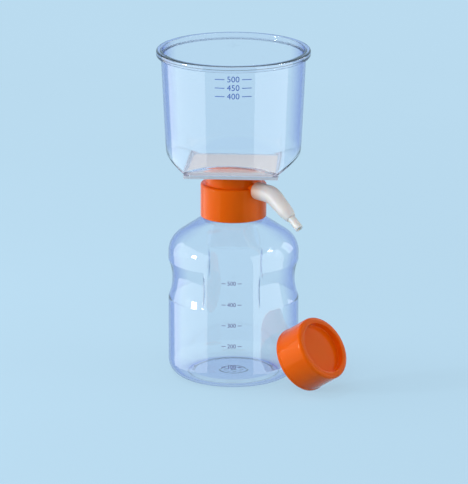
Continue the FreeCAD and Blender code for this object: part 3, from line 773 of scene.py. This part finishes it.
@dataclass
class Bottle:
    """The blow-moulded receiver: foot ring, hand grips, sloped shoulder, threaded neck."""

    radius: float = 46.9
    wall: float = 1.5
    heel: float = 12.0
    foot_in: float = 32.0
    foot_slope: float = 4.0
    slope_out: float = 1.6
    slope_in: float = 2.5
    push_up: float = 1.6
    marks_out: float = 13.0
    shoulder: float = 100.3
    shoulder_blend: float = 16.0
    neck: float = 20.7
    neck_foot: float = 118.2
    bore: float = 18.9
    top: float = 136.0
    grip_height: float = 72.2
    grip_half: float = 13.9
    grip_depth: float = 2.8
    grip_turn: float = 1.9
    grip_span: float = 64.5
    grip_edge: float = 1.7
    thread: Thread = Thread(start=124.0, height=1.1)

    def section(self) -> Array:
        """The half section from the middle of the foot, round the lip, to the middle inside.

        The inner line keeps the wall's thickness square to the outer one, except inside
        the foot ring, where its slope is gentler and stands further out.
        """
        slope = np.array([self.neck - self.radius, self.neck_foot - self.shoulder])
        inward = unit(np.array([-slope[1], slope[0]])) * self.wall
        fall = slope[1] / slope[0]
        foot = self.shoulder + inward[1] + fall * -inward[0]
        inner_wall = self.radius - self.wall
        inner_shoulder = foot + fall * (inner_wall - self.radius)
        inner_neck = foot + fall * (self.bore - self.radius)
        corners = [
            Corner(0.0, self.push_up),
            Corner(self.foot_in - self.foot_slope, self.push_up, 4.0),
            Corner(self.foot_in, 0.0, 1.2),
            Corner(self.radius, 0.0, self.heel),
            Corner(self.radius, self.shoulder, self.shoulder_blend),
            Corner(self.neck, self.neck_foot, 2.0),
            Corner(self.neck, self.top, 0.5),
            Corner(self.bore, self.top, 0.5),
            Corner(self.bore, inner_neck, 2.0),
            Corner(inner_wall, inner_shoulder, self.shoulder_blend - self.wall),
            Corner(inner_wall, self.wall, self.heel - self.wall),
            Corner(self.foot_in + self.slope_out, self.wall, 2.6),
            Corner(self.foot_in - self.slope_in, self.push_up + self.wall, 4.0),
            Corner(0.0, self.push_up + self.wall),
        ]
        low, high = self.grip_height - self.grip_half, self.grip_height + self.grip_half
        step_at = zones(11.0, Zone(1.0, low - 2.5, high + 2.5),
                        Zone(0.32, low - 0.9, low + 1.2),
                        Zone(0.32, high - 1.2, high + 0.9),
                        Zone(0.34, self.thread.start - 2.0, self.thread.start + 9.0),
                        Zone(6.0, low=110.0, outer=self.bore + 0.5),
                        Zone(0.55, high=4.0, outer=self.marks_out))
        return refined(rounded(corners, steps=9, support=0.5), step_at)

    def hollow(self, up: Array, azimuth: Array) -> Array:
        """Depth of the hand grips.

        A grip's section in height is a circle's edge, and it ends in a short step at a
        fixed azimuth either side of the bottle's left and right.

        Args:
            up: Heights of the points.
            azimuth: Azimuths of the points in radians.

        Returns:
            How far each point is pressed in.
        """
        ball = (self.grip_half**2 + self.grip_depth**2) / (2 * self.grip_depth)
        level = np.sqrt(np.maximum(ball**2 - (up - self.grip_height) ** 2, 0.0))
        sunk = risen(level - (ball - self.grip_depth), 0.12, 0.01)
        turn = azimuth - math.radians(self.grip_turn)
        away = np.degrees(np.arccos(np.clip(np.abs(np.cos(turn)), 0.0, 1.0)))
        edge = (self.grip_span - away) * math.radians(self.radius) / self.grip_edge + 0.5
        return sunk * soft_min(risen(edge, 0.15, 0.02), 1.0, 0.15)

    def base_marks(self, across: Array, deep: Array) -> Array:
        """Depth of the plain marks moulded into the foot.

        Bells of the distance from the axis make a ring, the gate's pit in the middle and a
        circle that an eased cosine of the azimuth parts into nine dots.

        Args:
            across: Places of the points from left to right.
            deep: Places of the points from front to back.

        Returns:
            How far each point is pressed in.
        """
        from_axis = np.hypot(across, deep)
        ring = 0.30 * bell(from_axis - 9.5, 0.55)
        gate = 0.55 * bell(from_axis, 1.3)
        nine = eased(np.cos(9 * np.arctan2(deep, across)) * 2 - 0.6)
        return ring + gate + 0.35 * bell(from_axis - 6.0, 0.8) * nine

    def build(self, plastic: Material) -> None:
        """Makes the bottle.

        Args:
            plastic: The finish.
        """
        out, up = out_and_up(self.section())
        ends = [side + self.grip_turn + sign * self.grip_span
                for side in (0.0, 180.0) for sign in (-1.0, 1.0)]
        azimuth = around(310, ends, 1.4, 7.0)
        ridge = self.thread.rise(up, azimuth - math.radians(self.grip_turn))
        outside = out > (self.bore + self.neck) / 2
        shape = out - self.hollow(up, azimuth) + np.where(outside, ridge, 0.0)
        marks = self.base_marks(out * np.cos(azimuth), out * np.sin(azimuth))
        level = up - np.where(up < self.push_up + self.wall / 2, marks, 0.0)
        piece = Piece("clear_bottle", Body.BOTTLE, Slot.CLEAR, ("bottle",))
        piece.add_grid(turned(shape, level, azimuth), poles=True)
        piece.finish(plastic)


@dataclass
class Cap:
    """The loose screw cap that leans on the bottle, built open end down and then laid."""

    radius: float = 23.69
    height: float = 24.0
    edge: float = 2.3
    bead: float = 0.29
    bead_height: float = 2.0
    recess: float = 18.8
    recess_depth: float = 4.7
    bore: float = 22.15
    ceiling: float = 17.5
    ring_out: float = 18.7
    ring_in: float = 17.6
    ring_depth: float = 3.0
    lean: float = 57.0
    swing: float = -33.0
    place: Point = (50.548, -32.826, 20.128)

    def laid(self, points: Array) -> Array:
        """Leans the upright cap over, swings it round and moves it to where it lies.

        Args:
            points: The points of the upright cap.

        Returns:
            The points where they lie.
        """
        c, s = math.cos(math.radians(self.lean)), math.sin(math.radians(self.lean))
        leaned = points @ np.array([[c, 0.0, -s], [0.0, 1.0, 0.0], [s, 0.0, c]])
        return swung(leaned, self.swing) + np.array(self.place)

    def build(self, plastic: Material, thread: Thread) -> None:
        """Makes the cap.

        Args:
            plastic: The finish.
            thread: The ridge inside it.
        """
        outer = self.radius + self.bead
        floor = self.height - self.recess_depth
        corners = [
            Corner(0.0, self.ceiling),
            Corner(self.ring_in, self.ceiling, 0.3),
            Corner(self.ring_in, self.ceiling - self.ring_depth, 0.4),
            Corner(self.ring_out, self.ceiling - self.ring_depth, 0.4),
            Corner(self.ring_out, self.ceiling, 0.3),
            Corner(self.bore, self.ceiling, 0.6),
            Corner(self.bore, 0.0, 0.3),
            Corner(outer, 0.0, 0.35),
            Corner(outer, self.bead_height, 0.2),
            Corner(self.radius, self.bead_height + 0.15, 0.15),
            Corner(self.radius, self.height, self.edge),
            Corner(self.recess, self.height, 0.9),
            Corner(self.recess, floor, 0.7),
            Corner(0.0, floor),
        ]
        reach = Zone(0.3, thread.start - thread.base,
                     thread.start + thread.lead * thread.turns + thread.base,
                     self.bore - 0.2, self.bore + 0.2)
        line = rounded(corners, support=0.25)
        piece = Piece("loose_cap", Body.BOTTLE, Slot.ORANGE, ("screw_cap",))
        piece.add_grid(self.laid(threaded_bore(line, reach, thread, 240)), poles=True)
        piece.finish(plastic)


@dataclass
class Collar:
    """The orange neck adapter: threaded skirt, narrower neck above, and side port."""

    radius: float = 23.75
    bore: float = 22.15
    bottom: float = 118.3
    thread_low: float = 122.0
    thread_high: float = 135.0
    shelf: float = 137.5
    top: float = 142.4
    edge: float = 1.4
    neck: float = 20.2
    chamber: float = 18.4
    neck_top: float = 153.2
    port_height: float = 141.4
    port_out: float = 4.4
    port_in: float = 3.2
    port_root: float = 19.0
    port_end: float = 35.0
    swing: float = -45.0

    def build(self, plastic: Material, thread: Thread) -> None:
        """Makes the collar.

        Args:
            plastic: The finish.
            thread: The ridge inside its skirt.
        """
        corners = [
            Corner(self.bore, self.bottom, 0.3),
            Corner(self.radius, self.bottom, 0.4),
            Corner(self.radius, self.top, self.edge),
            Corner(self.neck, self.top, 0.5),
            Corner(self.neck, self.neck_top, 0.3),
            Corner(self.chamber, self.neck_top, 0.3),
            Corner(self.chamber, self.shelf, 0.3),
            Corner(self.bore, self.shelf, 0.4),
        ]
        line = rounded(corners, closed=True)
        reach = Zone(0.3, self.thread_low, self.thread_high, self.bore - 0.2, self.bore + 0.2)
        skirt = threaded_bore(line, reach, thread, 260, closed=True)
        piece = Piece("orange_collar", Body.HEAD, Slot.ORANGE, ("neck_adapter",))
        piece.add_grid(swung(skirt, self.swing), loop=True)
        piece.add_grid(swung(self.port(), self.swing), loop=True)
        piece.finish(plastic)

    def port(self) -> Array:
        """The side port: a tube section carried round an axis that points outwards."""
        tube = rounded([
            Corner(self.port_in, self.port_root),
            Corner(self.port_out, self.port_root),
            Corner(self.port_out, self.port_end, 0.4),
            Corner(self.port_in, self.port_end, 0.3),
        ], closed=True, steps=4, support=0.2)
        upright = turned(tube[:, :1], tube[:, 1:], around(64))
        return np.stack([upright[..., 2], upright[..., 1],
                         self.port_height - upright[..., 0]], -1)


@dataclass
class HoseConnector:
    """The milky angled connector: sleeve, soft elbow, tapered nozzle and stepped tip."""

    start: float = 25.65
    corner: float = 41.7
    height: float = 141.4
    lean: float = 33.0
    bend: float = 4.2
    sleeve: float = 6.35
    sleeve_bore: float = 4.45
    sleeve_deep: float = 10.35
    shoulder: float = 5.2
    shoulder_end: float = 19.0
    nozzle_thin: float = 3.7
    nozzle_end: float = 24.2
    tip: float = 2.95
    tip_end: float = 35.0
    bore: float = 1.5
    elbow_bore: float = 2.0
    swing: float = -45.0

    def build(self, plastic: Material) -> None:
        """Makes the connector from a section carried along its bent centreline.

        Args:
            plastic: The finish.
        """
        elbow = self.corner - self.start
        section = rounded([
            Corner(self.sleeve_bore, 0.0, 0.4),
            Corner(self.sleeve, 0.0, 0.5),
            Corner(self.sleeve, elbow, 20.0),
            Corner(self.shoulder, elbow + self.shoulder_end, 18.0),
            Corner(self.nozzle_thin, elbow + self.nozzle_end, 0.4),
            Corner(self.tip, elbow + self.nozzle_end + 0.1, 0.3),
            Corner(self.tip, elbow + self.tip_end, 0.45),
            Corner(self.bore, elbow + self.tip_end, 0.3),
            Corner(self.bore, elbow + 4.0, 0.5),
            Corner(self.elbow_bore, elbow, 0.5),
            Corner(self.elbow_bore, self.sleeve_deep, 0.3),
            Corner(self.sleeve_bore, self.sleeve_deep, 0.3),
        ], closed=True, steps=5)
        section = refined(section, zones(2.5, Zone(0.8, elbow - 7.0, elbow + 7.0)), True)
        out, along = out_and_up(section)
        azimuth = around(96)
        piece = Piece("angled_connector", Body.CONNECTOR, Slot.WHITE, ("hose_connector",))
        piece.add_grid(swung(self.carried(out, along - elbow, azimuth), self.swing), loop=True)
        piece.finish(plastic)

    def carried(self, out: Array, along: Array, azimuth: Array) -> Array:
        """Circles of a section set square to the bent centreline.

        The centreline is straight on both sides and a parabola's arc across the corner,
        whose heading goes evenly from one side's to the other's.

        Args:
            out: Radius of each circle.
            along: Distance of each circle from the corner, less than 0 before it.
            azimuth: Angles round the centreline in radians.

        Returns:
            The points, with the corner ahead on the first axis.
        """
        lean = math.radians(self.lean)
        before, after = np.array([1.0, 0.0]), np.array([math.cos(lean), -math.sin(lean)])
        share = np.clip((along / self.bend + 1.0) / 2.0, 0.0, 1.0)
        bowed = self.bend * (share**2 * after - (1 - share) ** 2 * before)
        straight = np.where(along < 0, along + self.bend, 0.0) * (along < -self.bend) * before
        straight = straight + np.where(along > self.bend, along - self.bend, 0.0) * after
        line = bowed + straight + np.array([self.corner, self.height])
        ahead, rise = out_and_up(unit((1 - share) * before + share * after))
        return np.stack([line[:, :1] - rise * out * np.cos(azimuth),
                         -out * np.sin(azimuth),
                         line[:, 1:] + ahead * out * np.cos(azimuth)], -1)


@dataclass
class Funnel:
    """The clear cup: conical above, drawn in by four sloped faces to a square foot."""

    bottom: float = 155.24
    top: float = 240.7
    foot_radius: float = 48.0
    top_radius: float = 52.2
    wall: float = 1.8
    square: float = 33.75
    opening: float = 30.8
    face_foot: float = 156.2
    face_foot_in: float = 156.50
    face_rise: float = 31.5
    foot_blend: float = 0.35
    cone_blend: float = 1.5
    corner_outer: float = 1.6
    corner_inner: float = 2.4
    faces_fine_to: float = 169.0
    faces_within: float = 75.0
    rim_radius: float = 55.29
    rim_bottom: float = 236.0
    seat_radius: float = 51.0
    seat: float = 237.5

    def outside(self, up: Length) -> Length:
        """Radius of the cup's outer cone at a height."""
        share = (up - self.bottom) / (self.top - self.bottom)
        return self.foot_radius + (self.top_radius - self.foot_radius) * share

    def build(self, plastic: Material, bonded: Material) -> None:
        """Makes the cup, whose foot is bonded to the frosted plate under it.

        A point's distance from the axis is the least, softly, of the cone's and of the
        two pairs of faces, and a face stands off the axis by its half width over the
        cosine of the azimuth from it.

        Args:
            plastic: The finish.
            bonded: The finish of the foot's underside.
        """
        corners = [
            Corner(self.foot_radius, self.bottom),
            Corner(self.outside(self.rim_bottom), self.rim_bottom, 0.8),
            Corner(self.rim_radius, self.rim_bottom, 1.2),
            Corner(self.rim_radius, self.top, 1.3),
            Corner(self.seat_radius, self.top, 0.6),
            Corner(self.seat_radius, self.seat, 0.3),
            Corner(self.outside(self.seat) - self.wall, self.seat, 0.3),
            Corner(self.foot_radius - self.wall, self.bottom),
        ]
        step_at = zones(7.0, Zone(0.42, self.face_foot, self.faces_fine_to),
                        Zone(0.25, self.bottom - 0.1, self.face_foot + 0.6))
        section = refined(rounded(corners, steps=7, support=0.35), step_at)
        out, up = out_and_up(section)
        outer = np.arange(len(section))[:, None] <= np.argmax(section[:, 1])
        azimuth = around(400, (-135.0, -45.0, 45.0, 135.0), 4.0, 2.2)
        steep = 1.0 / math.tan(math.radians(self.face_rise))
        foot = np.where(outer, self.face_foot, self.face_foot_in)
        half = np.where(outer, self.square, self.opening)
        half = half + soft_max(up - foot, 0.0, self.foot_blend) * steep
        round_off = np.where(outer, self.corner_outer, self.corner_inner)
        pair = soft_min(half / np.maximum(np.abs(np.cos(azimuth)), LEAST_COSINE),
                        half / np.maximum(np.abs(np.sin(azimuth)), LEAST_COSINE), round_off)
        both = soft_min(out + 0.0 * azimuth, pair, self.cone_blend)
        shape = np.where(half < self.faces_within, both, out)
        piece = Piece("clear_funnel", Body.HEAD, Slot.CLEAR, ("funnel",))
        piece.add_grid(turned(shape, up, azimuth), loop=True)
        piece.finish(plastic, bonded, azimuth.size)


@dataclass
class Scale:
    """A column of plain numbers with a short tick on each side, printed on a round wall."""

    name: str
    body: Body
    wall: Callable[[Array], Array]
    azimuth: float
    marks: tuple[tuple[str, float], ...]
    height: float
    tick: float
    gap: float
    thick: float = 0.03
    clear: float = 0.05
    stroke: float = 0.28

    def letters(self, text: str) -> tuple[Array, list[list[int]]]:
        """The outlines of a word in the built-in face, as a thin closed slab.

        Args:
            text: The word.

        Returns:
            Points across, up and out of the wall, and the faces between them.
        """
        curve = bpy.data.curves.new("word", "FONT")
        curve.body, curve.align_x, curve.align_y = text, "CENTER", "CENTER"
        curve.size, curve.extrude = self.height / CAPITAL_SHARE, self.thick / 2
        curve.resolution_u = 4
        word = placed("word", curve)
        bpy.context.view_layer.update()
        ready = word.evaluated_get(bpy.context.evaluated_depsgraph_get())
        mesh = bpy.data.meshes.new_from_object(ready)
        work = bmesh.new()
        work.from_mesh(mesh)
        bmesh.ops.remove_doubles(work, verts=work.verts, dist=1e-4)
        work.to_mesh(mesh)
        work.free()
        points = np.zeros(len(mesh.vertices) * 3)
        mesh.vertices.foreach_get("co", points)
        faces = [list(face.vertices) for face in mesh.polygons]
        bpy.data.objects.remove(word)
        bpy.data.curves.remove(curve)
        bpy.data.meshes.remove(mesh)
        return points.reshape(-1, 3), faces

    def bar(self, start: float, stop: float) -> tuple[Array, list[list[int]]]:
        """A tick: a thin closed strip across the wall.

        Args:
            start: Where it starts, across from the middle of the word.
            stop: Where it stops.

        Returns:
            Its points and faces, as letters gives a word's.
        """
        across = np.linspace(start, stop, 5)[:, None]
        up = np.array([-1, 1, 1, -1])[None, :] * self.stroke / 2
        out = np.array([-1, -1, 1, 1])[None, :] * self.thick / 2
        points = np.stack(np.broadcast_arrays(across, up, out), -1).reshape(-1, 3)
        side = ring_faces(np.arange(20).reshape(5, 4))
        return points, side + [[3, 2, 1, 0], [16, 17, 18, 19]]

    def wrapped(self, points: Array, level: float) -> Array:
        """Flat points laid on the wall: the distance across becomes an arc round it.

        Args:
            points: Points across, up and out.
            level: Height of the word's middle.

        Returns:
            The points on the wall.
        """
        up = level + points[:, 1]
        radius = self.wall(up)
        turn = math.radians(self.azimuth) + points[:, 0] / radius
        out = radius + self.clear + points[:, 2]
        return np.stack([out * np.cos(turn), out * np.sin(turn), up], -1)

    def build(self, ink: Material) -> None:
        """Prints the scale.

        Args:
            ink: The finish.
        """
        piece = Piece(self.name, self.body, Slot.CLEAR)
        for text, level in self.marks:
            points, faces = self.letters(text)
            piece.add(self.wrapped(points, level), faces)
            edge = float(points[:, 0].max()) + self.gap
            for start in (edge, -edge - self.tick):
                points, faces = self.bar(start, start + self.tick)
                piece.add(self.wrapped(points, level), faces)
        shown = piece.finish(ink)
        shown.data.polygons.foreach_set("use_smooth", np.zeros(len(shown.data.polygons), bool))


@dataclass(frozen=True)
class Lamp:
    """One panel of light that faces the unit, in metres and watts.

    Glossy surfaces mirror it where it is shiny, and matt ones take its light where it
    lights.
    """

    name: str
    place: Point
    size: tuple[float, float]
    power: float
    shiny: bool = True
    lights: bool = True

    def hang(self, aim: Vector) -> None:
        """Hangs it.

        Args:
            aim: The point that it faces.
        """
        lamp = bpy.data.lights.new(self.name, "AREA")
        lamp.shape, lamp.energy = "RECTANGLE", self.power
        lamp.size, lamp.size_y = self.size
        shown = placed(self.name, lamp)
        shown.location = self.place
        toward = aim - Vector(self.place)
        shown.rotation_euler = toward.to_track_quat("-Z", "Y").to_euler()
        shown.visible_camera = shown.visible_transmission = False
        shown.visible_glossy, shown.visible_diffuse = self.shiny, self.lights


@dataclass(frozen=True)
class Studio:
    """Plain pale floor, soft panels of light either side and above, and the camera."""

    floor: Colour = (0.50, 0.72, 0.88)
    ambient: Colour = (0.92, 0.96, 1.0)
    ambient_strength: float = 0.28
    floor_edge: float = 9.0
    matt_share: float = 0.25
    fade: Range = (0.25, 0.9)
    lamps: tuple[Lamp, ...] = (
        Lamp("left_key", (-1.16, -0.41, 0.36), (0.22, 0.30), 6.4),
        Lamp("left_strip", (-1.15, -0.05, 0.35), (0.8, 1.3), 3.1, shiny=False),
        Lamp("right_strip", (1.15, -0.05, 0.35), (0.8, 1.3), 4.0, shiny=False),
        Lamp("left_panel", (-1.14, -0.12, 0.2), (2.1, 1.5), 16.5, lights=False),
        Lamp("right_panel", (1.083, -0.411, 0.2), (1.45, 1.5), 11.0, lights=False),
        Lamp("rear_panel", (1.268, 0.909, 0.55), (0.6, 0.9), 3.1, lights=False),
        Lamp("right_spot", (0.94, -0.04, 0.87), (0.14, 0.14), 1.8, lights=False),
        Lamp("top_softbox", (-0.75, 0.2, 1.35), (1.1, 1.1), 13.2, shiny=False),
        Lamp("front_softbox", (0.0, -1.3, 0.95), (0.9, 0.9), 5.5, shiny=False),
    )
    aim: Point = (0.00036, 0.0, 0.098)
    distance: float = 4.0
    rise: float = 15.3
    swing: float = 3.7
    lens: float = 413.2

    def build(self) -> None:
        """Lays the floor, hangs the lamps and sets the camera."""
        self.lay_floor()
        self.light_world()
        for lamp in self.lamps:
            lamp.hang(Vector(self.aim))
        self.set_camera()

    def lay_floor(self) -> None:
        """A wide plain sheet, evenly pale to the eye, that still takes shadows.

        To the eye it is mostly its own glow, with a share of matt skin for the shadows that
        fades away from the unit. Glossy walls look past it to the world, which has its
        colour.
        """
        mesh = bpy.data.meshes.new("floor")
        edge = self.floor_edge
        mesh.from_pydata([(-edge, -edge, 0), (edge, -edge, 0), (edge, edge, 0),
                          (-edge, edge, 0)], [], [(0, 1, 2, 3)])
        nodes = Finish("pale_floor").nodes()
        tone = nodes.blend(nodes.noise(3.0, 2.0), self.floor,
                           tuple(0.97 * part for part in self.floor))
        matt = nodes.add("BsdfDiffuse", Color=tone, Roughness=0.5)
        glow = nodes.add("Emission", Color=tone, Strength=1.0)
        away = nodes.add("VectorMath", operation="LENGTH", Vector=nodes.coordinates)
        share = nodes.between(away.outputs["Value"], self.matt_share, 0.0, *self.fade)
        dim = nodes.mixed(share, glow, matt)
        mesh.materials.append(nodes.close(nodes.mixed(nodes.seen(), matt, dim)))
        floor = placed("floor", mesh)
        floor.visible_glossy = False

    def light_world(self) -> None:
        """Even soft light all round, and the floor's colour where the eye sees past it."""
        world = bpy.data.worlds.new("studio")
        bpy.context.scene.world = world
        nodes = Nodes(world)
        soft = nodes.add("Background", Color=self.ambient, Strength=self.ambient_strength)
        pale = nodes.add("Background", Color=self.floor, Strength=1.0)
        nodes.close(nodes.mixed(nodes.seen(), soft, pale))

    def set_camera(self) -> None:
        """Puts the camera on its line of sight and makes it the scene's."""
        lens = bpy.data.cameras.new("camera")
        lens.lens, lens.sensor_width = self.lens, 36.0
        lens.clip_start, lens.clip_end = 0.1, 60.0
        camera = placed("camera", lens)
        rise, swing = math.radians(self.rise), math.radians(self.swing)
        sight = Vector((math.sin(swing) * math.cos(rise), -math.cos(swing) * math.cos(rise),
                        math.sin(rise)))
        camera.location = Vector(self.aim) + sight * self.distance
        camera.rotation_euler = (-sight).to_track_quat("-Z", "Y").to_euler()
        bpy.context.scene.camera = camera


def dress(node: str, material: Material) -> None:
    """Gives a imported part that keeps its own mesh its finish.

    Args:
        node: The part's name.
        material: The finish.
    """
    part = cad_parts[node]
    part.data.materials.clear()
    part.data.materials.append(material)
    log.info("%s keeps its mesh", node)


def main() -> None:
    """Builds and dresses every piece in order."""
    logging.basicConfig(level=logging.INFO, format="%(message)s")
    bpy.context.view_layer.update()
    bottle, collar, cap, funnel = Bottle(), Collar(), Cap(), Funnel()
    # Both clear finishes carry the painted edge shade; the cup's starts only above 0.166 m.
    polystyrene = ClearPolystyrene("clear_polystyrene").material()
    cup_plastic = ClearPolystyrene("cup_polystyrene", tinted_from=0.166).material()
    orange = MouldedPolypropylene("orange_polypropylene").material()
    bottle.build(polystyrene)
    apart = bottle.grip_turn - collar.swing
    meshing = bottle.thread.start + bottle.thread.lead * (0.5 - apart / 360.0)
    collar.build(orange, Thread(start=meshing, height=INNER_RIDGE))
    cap.build(orange, Thread(start=8.0, height=INNER_RIDGE))
    HoseConnector().build(MilkyPolyethylene("milky_polyethylene").material())
    frosted = FrostedPolystyrene("frosted_polystyrene").material()
    funnel.build(cup_plastic, frosted)
    dress("support_plate", frosted)
    dress("membrane", FilterSheet("filter_sheet").material())
    dress("neck_gasket", SoftSeal("silicone").material())
    dress("vent_plug", CottonPlug("cotton_plug").material())
    grey = PrintedInk("grey_ink", (0.10, 0.07, 0.22), (0.17, 0.12, 0.32))
    blue = PrintedInk("blue_ink", (0.02, 0.07, 0.42), (0.04, 0.12, 0.52))
    Scale("bottle_scale", Body.BOTTLE, lambda up: np.full_like(up, bottle.radius), -88.0,
          (("500", 79.8), ("400", 64.0), ("300", 48.6), ("200", 33.2), ("100", 17.8)),
          height=2.9, tick=3.0, gap=1.2, stroke=0.38).build(grey.material())
    Scale("funnel_scale", Body.HEAD, funnel.outside, -86.5,
          (("500", 230.6), ("450", 224.3), ("400", 218.1)),
          height=4.2, tick=7.0, gap=1.8, stroke=0.5).build(blue.material())
    Studio().build()
    cycles = bpy.context.scene.cycles
    cycles.transmission_bounces = 60
    cycles.max_bounces = 64
    cycles.transparent_max_bounces = 24
    cycles.caustics_refractive = False
    cycles.caustics_reflective = False
    bpy.context.scene.view_settings.view_transform = "Standard"


if __name__ == "__main__":
    main()
